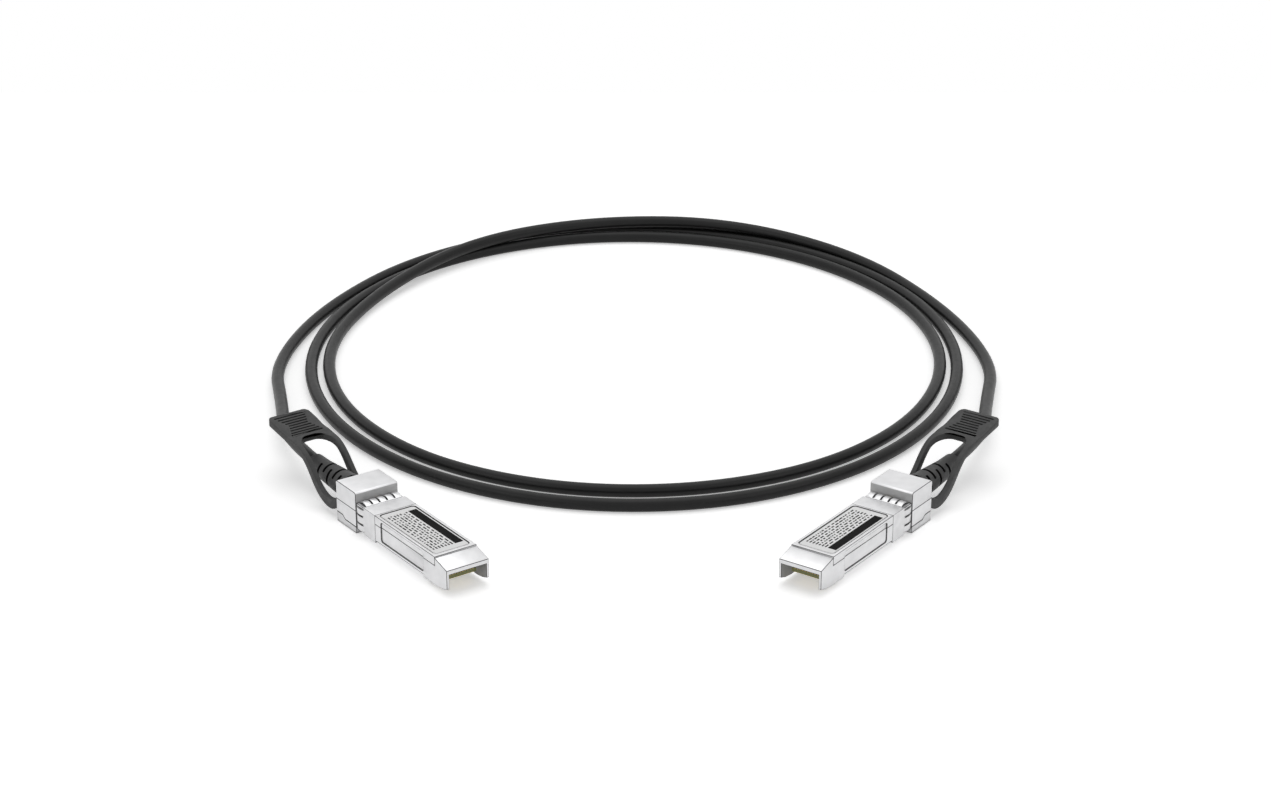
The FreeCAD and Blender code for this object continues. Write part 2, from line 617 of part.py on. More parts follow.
def pull_tab(side):
    """Moulded pull tab: two arms from the head that climb over the cable to a ribbed pad."""
    width, arm = value("tab_width"), value("arm")
    near, back = value("arm_front"), value("pad_back")
    strap = strap_side(near).extrude(FreeCAD.Vector(width, 0, 0))
    strap.translate(FreeCAD.Vector(-width / 2, 0, 0))
    inner, outer = value("(arm_spacing - arm) / 2"), value("(arm_spacing + arm) / 2")
    leave, spread = value("head_back + 2 * joint_gap"), value("head_back + 2 * arm")
    corner = value("pad_corner")
    half = [(outer, near, 0), (outer, leave, 0), (width / 2, spread, 0), (width / 2, back, corner)]
    hole = [(inner, near - 1, 0), (inner, leave, 0), (width / 2 - arm, spread, 0),
            (width / 2 - arm, value("pad_front"), 2 * corner)]
    whole = rounded(half + [(-x, y, r) for x, y, r in reversed(half)])
    gap = rounded(hole + [(-x, y, r) for x, y, r in reversed(hole)])
    tall = FreeCAD.Vector(0, 0, value("lift + head_top + pad_rise + head_top"))
    plan = whole.cut(gap).extrude(tall)
    plan.translate(FreeCAD.Vector(0, 0, -value("lift")))
    tab = strap.common(plan)
    post = value("post_width / 2 + joint_gap / 2")
    for x in (-value("arm_spacing") / 2, value("arm_spacing") / 2):
        eye = Part.makeBox(2 * post, value("post_length + joint_gap"), value("head_top"),
                           FreeCAD.Vector(x - post, value("post_front - joint_gap / 2"), 0))
        tab = tab.cut(eye)
    tab = tab.cut(grip_grooves())
    thing = doc.addObject("Part::Feature", "pull_tab")
    thing.Shape = tab.Solids[0] if len(tab.Solids) == 1 else tab
    return seat(thing, side, "pull_tab")


def grip_grooves():
    """The cross grooves in the top of the pad, shortest in the middle of the row."""
    mid = value("(arm_low + arm_high) / 2 + pad_rise")
    count, width, depth = value("grip_count"), value("grip_width"), value("grip_depth")
    longest, shortest = value("grip_length"), value("grip_waist")
    grooves = []
    for i in range(int(count)):
        way_out = abs(2 * i / (count - 1) - 1)
        length = shortest + (longest - shortest) * way_out
        groove = Part.makeBox(length, width, value("pad_thick"))
        groove.translate(FreeCAD.Vector(-length / 2, value("grip_first") + i * value("grip_pitch"),
                                        value("pad_thick") / 2 - depth))
        groove.rotate(FreeCAD.Vector(0, 0, 0), FreeCAD.Vector(1, 0, 0), value("pad_tilt"))
        groove.translate(FreeCAD.Vector(0, value("pad_front"), mid))
        grooves.append(groove)
    return Part.makeCompound(grooves)


# The coil as seen from above, clockwise from the left: way round in degrees, how far the
# strand lies outside the coil's own oval, and the height of the strand in its layer.
COIL = {
    "half_width": 104.6, "half_depth": 114.0, "middle": 120.31,
    "steps": 33, "from": 20.0, "to": 880.0,
    "outward": [(20, 4.0), (90, 4.6), (120, 1.2), (180, 0.0), (270, 0.0), (360, 0.0),
                (450, -3.2), (540, -5.0), (630, -10.6), (720, -5.2), (752, -6.4),
                (780, -3.0), (848, 5.6), (880, 4.0)],
    "layer": [(0, 0), (745, 0), (771, 1), (836, 1), (864, 0), (900, 0)],
}
# The lead between a plug and the coil: across, back, and height above lying on the floor.
LEAD = [(107.0, 77.1, 1.5), (113.4, 113.1, 0.0)]


def between(table, where):
    """Straight-line interpolation in a table of (place, value)."""
    for (a, low), (b, high) in zip(table, table[1:]):
        if where <= b:
            return low + (high - low) * (where - a) / (b - a)
    return table[-1][1]


def coil_points():
    """Points of the coil, one per step round it."""
    radius = value("cable_diameter / 2")
    over = value("cable_diameter") + 0.25
    points = []
    for i in range(COIL["steps"] + 1):
        way = COIL["from"] + (COIL["to"] - COIL["from"]) * i / COIL["steps"]
        outward = between(COIL["outward"], way)
        x = -(COIL["half_width"] + outward) * math.cos(math.radians(way))
        y = COIL["middle"] + (COIL["half_depth"] + outward) * math.sin(math.radians(way))
        points.append(FreeCAD.Vector(x, y, radius + over * between(COIL["layer"], way)))
    return points


def lead_points(side):
    """From the ferrule out of a plug to the coil: along the plug's axis, then down."""
    yaw = math.radians(value("plug_yaw")) * -side
    along = FreeCAD.Vector(-math.sin(yaw), math.cos(yaw), 0)
    nose = FreeCAD.Vector(side * value("nose_aside"), -value("nose_forward"), value("lift + parting"))
    low = value("cable_diameter / 2")
    points = [nose + along * value("cable_start"), nose + along * value("cable_start + first_run")]
    return points + [FreeCAD.Vector(side * x, y, low + height) for x, y, height in LEAD]


def cable():
    """One round jacket from plug to plug, as straight runs joined by tangent arcs."""
    points = lead_points(-1) + coil_points() + lead_points(1)[::-1]
    runs = [(b - a).Length for a, b in zip(points, points[1:])]
    edges, radii, here = [], [], points[0]
    for i in range(1, len(points) - 1):
        half_turn = (points[i] - points[i - 1]).getAngle(points[i + 1] - points[i]) / 2
        radius = 0.45 * min(runs[i - 1], runs[i]) / math.tan(half_turn)
        arc = bend(points[i - 1], points[i], points[i + 1], radius)
        edges += [Part.LineSegment(here, arc.StartPoint).toShape(), arc.toShape()]
        here = arc.EndPoint
        radii.append(radius)
    edges.append(Part.LineSegment(here, points[-1]).toShape())
    path = Part.Wire(edges)
    start = (points[1] - points[0]).normalize()
    ring = Part.Wire(Part.Circle(points[0], start, value("cable_diameter / 2")).toShape())
    tube = path.makePipeShell([ring], True, True)
    section = math.pi * value("cable_diameter") ** 2 / 4
    print("cable: length %.1f, runs %.1f to %.1f, radii %.1f to %.1f, volume against section x length %.4f"
          % (path.Length, min(runs), max(runs), min(radii), max(radii),
             tube.Volume / (section * path.Length)))
    thing = doc.addObject("Part::Feature", "cable")
    thing.Shape = tube
    thing.Label = "cable"
    nodes.append(thing)
    return thing


def build():
    for side in (-1, 1):
        for piece in (base_shell, top_shell, emi_collar, label, paddle_card, edge_contacts, board_parts,
                      signal_pairs, jacket_end, crimp_ferrule, boot, pull_tab, release_slide,
                      return_springs, shell_screw):
            piece(side)
    cable()
    doc.recompute()


def check_and_write():
    """Stops on anything that failed, then writes each node to a file of its own."""
    for thing in doc.Objects:
        if "Invalid" in thing.State or "Error" in thing.State:
            raise RuntimeError("%s of %s failed" % (thing.Name, thing.Label))
    os.makedirs("parts", exist_ok=True)
    for thing in nodes:
        shape = thing.Shape
        if shape.isNull() or not shape.isValid() or not shape.Solids:
            raise RuntimeError("%s has no valid shape" % thing.Label)
        shape.exportStep("parts/%s.step" % thing.Label)
        print("%-22s solids %2d, volume %9.2f" % (thing.Label, len(shape.Solids), shape.Volume))


build()
check_and_write()
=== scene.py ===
# %% [markdown]
# # A direct attach copper cable
#
# Two metal plugs, each with a pull tab and a rubber boot, sit on the ends of one black
# twinaxial cable that lies in a loose coil. The solids were modelled first, in metres, and
# everything here is fitted round them.

import math
import random

import bmesh
import bpy
from mathutils import Matrix, Vector


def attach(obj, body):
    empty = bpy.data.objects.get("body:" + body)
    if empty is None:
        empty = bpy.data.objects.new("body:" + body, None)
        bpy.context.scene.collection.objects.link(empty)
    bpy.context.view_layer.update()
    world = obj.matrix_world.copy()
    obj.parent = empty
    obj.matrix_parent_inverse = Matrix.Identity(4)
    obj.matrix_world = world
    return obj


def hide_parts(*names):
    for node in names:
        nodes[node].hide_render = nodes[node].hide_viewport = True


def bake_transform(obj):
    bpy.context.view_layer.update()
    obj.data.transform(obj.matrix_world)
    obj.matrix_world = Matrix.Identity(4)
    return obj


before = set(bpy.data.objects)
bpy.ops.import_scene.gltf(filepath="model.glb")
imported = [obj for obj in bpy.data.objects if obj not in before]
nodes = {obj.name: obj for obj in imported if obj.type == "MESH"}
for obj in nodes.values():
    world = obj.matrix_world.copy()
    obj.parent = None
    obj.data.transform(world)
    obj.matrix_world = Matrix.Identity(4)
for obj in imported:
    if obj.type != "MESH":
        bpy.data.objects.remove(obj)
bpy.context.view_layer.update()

# %% [markdown]
# ## Sizes and places
#
# The sizes are written in millimetres, as a drawing gives them, and turned into metres by
# one factor. Each plug has a frame of its own: X across it, Y from the tip of its nose
# towards the cable, Z up. A matrix takes a piece from there to where its plug lies.

# %% The two plugs
MM = 0.001
SIDES = {"left": -1, "right": 1}
PLUG_YAW = math.radians(35.2)
PLUG_NOSE = Vector((44.5, -40.13, 1.1)) * MM


def plug_place(side):
    """The matrix from a plug's own frame to where it lies."""
    way = SIDES[side]
    nose = Vector((way * PLUG_NOSE.x, PLUG_NOSE.y, PLUG_NOSE.z))
    return Matrix.Translation(nose) @ Matrix.Rotation(-way * PLUG_YAW, 4, "Z")


PLACE = {side: plug_place(side) for side in SIDES}
BODY = {side: side + "_release" for side in SIDES}
FIXED = "cable_assembly"


def top_of(side, name):
    """How high a plug's solid reaches, in its plug's own frame."""
    back = PLACE[side].inverted()
    return max((back @ v.co).z for v in nodes[side + "_" + name].data.vertices)


# %% [markdown]
# ## Camera
#
# The object is seen from in front and a little above, through a long lens, which keeps the
# two plugs nearly as large as the far side of the coil.

# %% The camera
SENSOR_WIDTH, FOCAL_LENGTH, LENS_SHIFT = 36, 84.97, 0.0012
CAMERA_PLACE, CAMERA_TILT = (0, -0.75952, 0.36762), math.radians(66.57)

lens = bpy.data.cameras.new("camera")
lens.sensor_width = SENSOR_WIDTH
lens.lens = FOCAL_LENGTH
lens.shift_x = LENS_SHIFT
camera = bpy.data.objects.new("camera", lens)
camera.location = CAMERA_PLACE
camera.rotation_euler = (CAMERA_TILT, 0, 0)
bpy.context.scene.collection.objects.link(camera)
bpy.context.scene.camera = camera

# %% [markdown]
# ## Floor and light
#
# A white floor carries the soft shadows that seat the coil and the plugs. To the
# camera and in reflections the background is plain white, while the light on the object
# comes from three soft area lamps and a dim world.

# %% The floor
FLOOR_HALF, FLOOR_MIDDLE, FLOOR_ROUGH, FLOOR_GLOW = 0.3, 0.1, 0.9, 0.4
WHITE = (1, 1, 1, 1)


def new_piece(name, mesh):
    """A new object in the scene, round a mesh or a curve."""
    piece = bpy.data.objects.new(name, mesh)
    bpy.context.scene.collection.objects.link(piece)
    return piece


def finished_mesh(name, bm):
    """Writes a bmesh to a new mesh and frees it."""
    mesh = bpy.data.meshes.new(name)
    bm.to_mesh(mesh)
    bm.free()
    return mesh


bm = bmesh.new()
bmesh.ops.create_grid(bm, x_segments=1, y_segments=1, size=FLOOR_HALF,
                      matrix=Matrix.Translation((0, FLOOR_MIDDLE, 0)))
floor = new_piece("floor", finished_mesh("floor", bm))


def node_material(name):
    """A new node material: returns it, its nodes, a linking function and its main shader."""
    material = bpy.data.materials.new(name)
    material.use_nodes = True
    tree = material.node_tree
    shader = tree.nodes["Principled BSDF"]
    return material, tree.nodes, tree.links.new, shader


def seen_directly(tree, link):
    """One for rays that show the background: from the camera, in metal or through a gap."""
    path = tree.new("ShaderNodeLightPath")
    seen = path.outputs["Is Camera Ray"]
    for kind in ("Is Glossy Ray", "Is Transmission Ray"):
        both = tree.new("ShaderNodeMath")
        both.operation = "MAXIMUM"
        link(seen, both.inputs[0])
        link(path.outputs[kind], both.inputs[1])
        seen = both.outputs["Value"]
    return seen


floor_paint, tree, link, shader = node_material("floor_paint")
shader.inputs["Base Color"].default_value = WHITE
shader.inputs["Roughness"].default_value = FLOOR_ROUGH
shader.inputs["Specular IOR Level"].default_value = 0.0
shader.inputs["Emission Color"].default_value = WHITE
glow = tree.new("ShaderNodeMath")
glow.operation = "MULTIPLY"
glow.inputs[1].default_value = FLOOR_GLOW
link(seen_directly(tree, link), glow.inputs[0])
link(glow.outputs["Value"], shader.inputs["Emission Strength"])
floor.data.materials.append(floor_paint)

# %% World and lamps
WORLD_LIGHT = 0.38
LAMP_AIM = Vector((0, 0.09, 0))
LAMPS = (  # name, place, size, power
    ("lamp_over", (0.0, 0.3, 1.2), 1.2, 4.9),
    ("lamp_left", (-1.0, -0.7, 0.8), 0.8, 1.7),
    ("lamp_right", (1.0, -0.7, 0.8), 0.8, 1.7),
)

world = bpy.data.worlds.new("studio")
world.use_nodes = True
bpy.context.scene.world = world
bpy.context.scene.view_settings.view_transform = "Standard"
tree, link = world.node_tree.nodes, world.node_tree.links.new
tree["Background"].inputs["Color"].default_value = WHITE
level = tree.new("ShaderNodeMapRange")
level.inputs["To Min"].default_value = WORLD_LIGHT
level.inputs["To Max"].default_value = 1.0
link(seen_directly(tree, link), level.inputs["Value"])
link(level.outputs["Result"], tree["Background"].inputs["Strength"])


def lamp(name, place, size, power):
    """A square area lamp that looks at the middle of the object."""
    light = bpy.data.lights.new(name, "AREA")
    light.size = size
    light.energy = power
    thing = bpy.data.objects.new(name, light)
    thing.location = place
    thing.rotation_euler = (LAMP_AIM - Vector(place)).to_track_quat("-Z", "Y").to_euler()
    bpy.context.scene.collection.objects.link(thing)


for name, place, size, power in LAMPS:
    lamp(name, place, size, power)

# %% [markdown]
# ## The cable
#
# One cable runs from plug to plug. Real cable bends smoothly, because its stiff copper
# cores never kink, so its line here is one NURBS curve with a point every few centimetres.
# It leaves each plug along the plug's axis, sinks to the floor and lies in two and a half
# turns that cross in long low humps.

# %% The cable's route
CABLE_RADIUS = 1.95 * MM
COIL_MIDDLE, COIL_HALF_WIDTH, COIL_HALF_DEPTH = 120.31, 104.6, 114.0
COIL_FROM, COIL_TO, COIL_STEPS = 20.0, 880.0, 33
# Round the coil, in degrees: how far outward and on which layer the cable lies.
OUTWARD = [(20, 4.0), (90, 4.6), (120, 1.2), (180, 0.0), (270, 0.0), (360, 0.0),
           (450, -3.2), (540, -5.0), (630, -10.6), (720, -5.2), (752, -6.4),
           (780, -3.0), (848, 5.6), (880, 4.0)]
LAYER = [(0, 0), (745, 0), (771, 1), (836, 1), (864, 0), (900, 0)]
LAYER_HEIGHT = 4.15
LEAD = [(107.0, 77.1, 1.5), (113.4, 113.1, 0.0)]  # aside, back, up
CABLE_START, FIRST_RUN, AXIS_HEIGHT = 62.0, 38.0, 5.9
RING_CUTS, CURVE_STEPS = 6, 10


def between(table, where):
    """Straight-line interpolation in a table of (place, value)."""
    for (a, low), (b, high) in zip(table, table[1:]):
        if where <= b:
            return low + (high - low) * (where - a) / (b - a)
    return table[-1][1]


def coil_points():
    """The coil's own points, clockwise from the left, as seen from above."""
    points = []
    for i in range(COIL_STEPS + 1):
        way = COIL_FROM + (COIL_TO - COIL_FROM) * i / COIL_STEPS
        out = between(OUTWARD, way)
        x = -(COIL_HALF_WIDTH + out) * math.cos(math.radians(way))
        y = COIL_MIDDLE + (COIL_HALF_DEPTH + out) * math.sin(math.radians(way))
        z = CABLE_RADIUS / MM + LAYER_HEIGHT * between(LAYER, way)
        points.append(Vector((x, y, z)) * MM)
    return points


def lead_points(side):
    """The points from inside a plug's boot out to the coil."""
    points = [PLACE[side] @ (Vector((0, y, AXIS_HEIGHT)) * MM)
              for y in (CABLE_START, CABLE_START + FIRST_RUN)]
    points += [Vector((SIDES[side] * x, y, CABLE_RADIUS / MM + up)) * MM for x, y, up in LEAD]
    return points


# %% The cable as a curve
route = lead_points("left") + coil_points() + lead_points("right")[::-1]
line = bpy.data.curves.new("cable_jacket", "CURVE")
line.dimensions = "3D"
line.bevel_depth = 1.0  # times the radius that each point carries
line.bevel_resolution = RING_CUTS
line.resolution_u = CURVE_STEPS
line.use_fill_caps = True
spline = line.splines.new("NURBS")
spline.points.add(len(route) - 1)
for point, place in zip(spline.points, route):
    point.co = (*place, 1)
    point.radius = CABLE_RADIUS
spline.use_endpoint_u = True
spline.order_u = 3
cable = new_piece("cable_jacket", line)
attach(cable, FIXED)
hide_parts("cable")
print("cable: %d points" % len(route))

# %% [markdown]
# ## Finishes
#
# No real surface is one flat colour. Each finish here drifts between two tones in soft
# clouds, varies in gloss the same way, and carries a fine grain as bump. Corners that
# light hardly reaches are darkened too: that is painted shade.

# %% Helpers for finishes
CORNER_SAMPLES, CORNER_RANGE = 8, (0.35, 0.9)
GLOSS_FINER = 3  # how much finer the clouds of gloss are than those of colour
GRAIN_DEPTH = 0.05 * MM


def noise(tree, link, place, size, detail=3.0):
    """Cloudy noise whose blobs are about a size across, in metres."""
    cloud = tree.new("ShaderNodeTexNoise")
    cloud.inputs["Scale"].default_value = 1 / size
    cloud.inputs["Detail"].default_value = detail
    link(place, cloud.inputs["Vector"])
    return cloud.outputs["Fac"]


def spread(tree, link, factor, low, high, ends=(0.3, 0.7)):
    """Maps a factor between two ends onto another range."""
    remap = tree.new("ShaderNodeMapRange")
    for socket, number in zip(("From Min", "From Max", "To Min", "To Max"), (*ends, low, high)):
        remap.inputs[socket].default_value = number
    link(factor, remap.inputs["Value"])
    return remap.outputs["Result"]


def mixed(tree, link, factor, first, second, blend="MIX"):
    """Mixes two colours; each is a colour or an output, and so is the factor."""
    mix = tree.new("ShaderNodeMix")
    mix.data_type = "RGBA"
    mix.blend_type = blend
    for index, given in ((0, factor), (6, first), (7, second)):
        socket = mix.inputs[index]
        if isinstance(given, bpy.types.NodeSocket):
            link(given, socket)
        else:
            socket.default_value = given
    return mix.outputs[2]


def grey(level, tint=(1.0, 1.0, 1.0)):
    """A grey, or a grey with a slight tint."""
    return (level * tint[0], level * tint[1], level * tint[2], 1.0)


def shaded_corners(tree, link, colour, reach, darkest):
    """Darkens a colour where walls closer than a reach hide it from the light."""
    hidden = tree.new("ShaderNodeAmbientOcclusion")
    hidden.samples = CORNER_SAMPLES
    hidden.inputs["Distance"].default_value = reach
    light = spread(tree, link, hidden.outputs["AO"], darkest, 1.0, CORNER_RANGE)
    return mixed(tree, link, 1.0, colour, light, "MULTIPLY")


def finish(name, dark, light, cloud, rough, metallic=0.0, grain=(0.0003, 0.1), corners=None,
           shine=0.5):
    """A finish in two tones, with gloss that varies, a fine grain and, if asked, painted shade in
    its corners.
    """
    material, tree, link, shader = node_material(name)
    place = tree.new("ShaderNodeTexCoord").outputs["Object"]
    drift = noise(tree, link, place, cloud)
    colour = mixed(tree, link, spread(tree, link, drift, 0, 1), dark, light)
    if corners:
        colour = shaded_corners(tree, link, colour, *corners)
    link(colour, shader.inputs["Base Color"])
    gloss = noise(tree, link, place, cloud / GLOSS_FINER)
    link(spread(tree, link, gloss, *rough), shader.inputs["Roughness"])
    shader.inputs["Metallic"].default_value = metallic
    shader.inputs["Specular IOR Level"].default_value = shine
    bump = tree.new("ShaderNodeBump")
    bump.inputs["Strength"].default_value = grain[1]
    bump.inputs["Distance"].default_value = GRAIN_DEPTH
    link(noise(tree, link, place, grain[0], 2.0), bump.inputs["Height"])
    link(bump.outputs["Normal"], shader.inputs["Normal"])
    return material


# %% The metals
COOL = (1.0, 1.0, 1.012)
# The casting's corners hold painted shade: how far it reaches and how dark it gets.
CAST_GRAIN, CAST_CORNERS = (0.0005, 0.04), (0.0011, 0.2)

casting = finish("plated_casting", grey(0.76, COOL), grey(0.84, COOL), 0.004, (0.3, 0.42),
                 metallic=0.55, grain=CAST_GRAIN, corners=CAST_CORNERS)
# Painted shade: a near-black band for the broken edges of the castings and the slide.
edge_shade_paint = finish("painted_edge_shade", grey(0.04), grey(0.07), 0.002, (0.5, 0.6), shine=0.15)
# Painted shade: darker greys for the head's front step and for the faces inside the plug.
step_shade_paint = finish("shaded_step", grey(0.46), grey(0.52), 0.002, (0.5, 0.6),
                    metallic=0.2, shine=0.3)
inner_shade_paint = finish("painted_inner_shade", grey(0.36), grey(0.44), 0.002, (0.5, 0.6),
                     metallic=0.3, shine=0.3)
slide_metal = finish("plated_slide", grey(0.62, COOL), grey(0.7, COOL), 0.003, (0.3, 0.4),
                     metallic=0.6, grain=CAST_GRAIN, corners=CAST_CORNERS)
spring = finish("spring_steel", grey(0.7, COOL), grey(0.78, COOL), 0.002, (0.3, 0.4),
                metallic=0.6, grain=(0.0005, 0.03))
# Painted shade: a near-black band for the broken edges of the collar.
collar_shade_paint = finish("painted_collar_shade", grey(0.07), grey(0.12), 0.001, (0.4, 0.5), metallic=0.3)
screw_metal = finish("screw_steel", grey(0.35), grey(0.45), 0.001, (0.25, 0.35), metallic=1.0)
gold = finish("gold_contacts", (0.78, 0.56, 0.2, 1), (0.88, 0.66, 0.28, 1), 0.0006, (0.2, 0.3),
              metallic=1.0)
brass = finish("crimp_brass", (0.6, 0.45, 0.2, 1), (0.72, 0.55, 0.26, 1), 0.001, (0.3, 0.4),
               metallic=1.0)

# %% The plastics
# The tab and the boot get painted shade in their corners too.
tab_plastic = finish("tab_plastic", grey(0.058), grey(0.074), 0.003, (0.5, 0.62),
                     grain=(0.00018, 0.35), corners=(0.0007, 0.15), shine=0.2)
boot_plastic = finish("boot_plastic", grey(0.052), grey(0.068), 0.003, (0.42, 0.55),
                      grain=(0.0002, 0.3), corners=(0.0009, 0.08), shine=0.25)
jacket = finish("cable_jacket", grey(0.006), grey(0.009), 0.006, (0.34, 0.42),
                grain=(0.0003, 0.15), shine=0.22)
# groove_shade is near-black painted shade for the tab's grooves and the boot's slots.
groove_shade = finish("groove_shade", grey(0.003), grey(0.006), 0.002, (0.7, 0.8), shine=0.05)
ink = finish("label_ink", grey(0.004), grey(0.008), 0.002, (0.6, 0.7), shine=0.05)
board = finish("circuit_board", (0.16, 0.17, 0.05, 1), (0.22, 0.22, 0.08, 1), 0.001, (0.35, 0.5))
chip = finish("chip_plastic", grey(0.02), grey(0.035), 0.0006, (0.5, 0.6))
wire = finish("wire_insulation", (0.5, 0.52, 0.55, 1), (0.62, 0.64, 0.66, 1), 0.001, (0.3, 0.4))
label_film = finish("label_film", grey(0.91), grey(0.94), 0.002, (0.45, 0.55))
cable.data.materials.append(jacket)

# %% [markdown]
# ## Pieces that the solids already shape well
#
# Die-cast and sheared metal keeps the solid's form, but a real edge is never knife-sharp:
# it is broken by a fraction of a millimetre, and that narrow band catches the light
# differently. A copy of the solid's mesh is merged and its flat faces joined. A Bevel
# modifier then breaks the edges and paints the band nearly black: painted shade that draws each
# edge as a dark line.

# %% Metal pieces with broken edges
HEAD_FRONT, HEAD_STEP, MOUTH_MIDDLE = 47.5, 6.0, 3.5
BODY_TOP, BODY_HALF = 6.6, 6.2
SKIN = 0.3  # a face nearer than this to a plane lies on it
OFF_MIDDLE = 0.5  # a face nearer than this to the mouth's middle has no inner side
SQUARE_ON, TOWARDS = 0.9, 0.5  # cosines, for a face that looks straight or roughly along
SAME_PLACE, FLAT = 0.002, math.radians(1)  # points to merge and faces to join
SHELL_EDGE, COLLAR_EDGE, SLIDE_EDGE = 0.13, 0.06, 0.1
SHARP_METAL, EDGE_SEGMENTS = 35, 2


def plain(middle, normal):
    """Every face keeps the metal of the piece."""
    return 0


def shaded_parts(middle, normal):
    """The head's front step and all that faces the plug's inside take painted shade."""
    if (normal.y < -SQUARE_ON and abs(middle.y - HEAD_FRONT) < SKIN
            and middle.z > HEAD_STEP):
        return 2
    if not (abs(middle.x) < BODY_HALF and SKIN < middle.z < BODY_TOP and middle.y > SKIN):
        return 0
    inward = Vector((-middle.x, 0, MOUTH_MIDDLE - middle.z))
    return 3 if inward.length > OFF_MIDDLE and inward.normalized().dot(normal) > TOWARDS else 0


def break_edges(piece, width, angle):
    """Rounds the edges of a piece that turn by more than an angle; returns the modifier."""
    bevel = piece.modifiers.new("broken_edge", "BEVEL")
    bevel.width = width * MM
    bevel.segments = EDGE_SEGMENTS
    bevel.limit_method = "ANGLE"
    bevel.angle_limit = math.radians(angle)
    bevel.use_clamp_overlap = False
    bevel.harden_normals = True
    return bevel


def machined(side, node, name, width, metals, body, part_of):
    """A metal piece from its solid, with its edges broken to a width."""
    bm = bmesh.new()
    bm.from_mesh(nodes[side + "_" + node].data)
    bmesh.ops.remove_doubles(bm, verts=bm.verts, dist=SAME_PLACE * MM)
    bmesh.ops.dissolve_limit(bm, angle_limit=FLAT, verts=bm.verts, edges=bm.edges)
    back = PLACE[side].inverted()
    for face in bm.faces:
        face.smooth = True
        middle = (back @ face.calc_center_median()) / MM
        face.material_index = part_of(middle, back.to_3x3() @ face.normal)
    piece = new_piece(side + "_" + name, finished_mesh(name, bm))
    for material in (*metals, step_shade_paint, inner_shade_paint):
        piece.data.materials.append(material)
    # The bevel band takes the second material, a near-black painted edge shade.
    break_edges(piece, width, SHARP_METAL).material = 1
    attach(piece, body)
    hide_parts(side + "_" + node)
    return piece


for side in SIDES:
    for node, name, width, metals, body, part_of, slot in (
            ("base_shell", "base_casting", SHELL_EDGE, (casting, edge_shade_paint),
             FIXED, shaded_parts, "plated_casting"),
            ("top_shell", "top_casting", SHELL_EDGE, (casting, edge_shade_paint),
             FIXED, shaded_parts, "plated_casting"),
            ("emi_collar", "shield_collar", COLLAR_EDGE, (spring, collar_shade_paint),
             FIXED, plain, "spring_steel"),
            ("release_slide", "slide_plate", SLIDE_EDGE, (slide_metal, edge_shade_paint),
             BODY[side], plain, "plated_slide")):
        piece = machined(side, node, name, width, metals, body, part_of)
        print(piece.name, len(piece.data.polygons), "faces before its bevel")

# %% [markdown]
# ## The boot
#
# A strain relief bends because slots are cut into it by turns from above and below and from
# the two sides, so that no slot weakens the same line twice. A profile is spun round the
# cable. The faces where a slot opens are then pushed in to the core.

# %% The boot
BOOT_START, BOOT_STEP, BOOT_HEAD, BOOT_TAPER_END, BOOT_END = 53.3, 56.5, 58.4, 77.0, 82.0
FLANGE, NECK, ROOT, SLEEVE, CORE = 4.0, 3.3, 4.15, 2.95, 2.45
SLOTS, SLOT_FIRST, SLOT_PITCH, SLOT_WIDTH, SLOT_HALF_ANGLE = 6, 60.6, 2.9, 0.9, 62.5
BOOT_FACETS = 72
SOFT_EDGE, SHARP_PLASTIC = 0.15, 40


def cone_radius(y):
    """The boot's radius at a place along its taper."""
    return ROOT + (SLEEVE - ROOT) * (y - BOOT_HEAD) / (BOOT_TAPER_END - BOOT_HEAD)


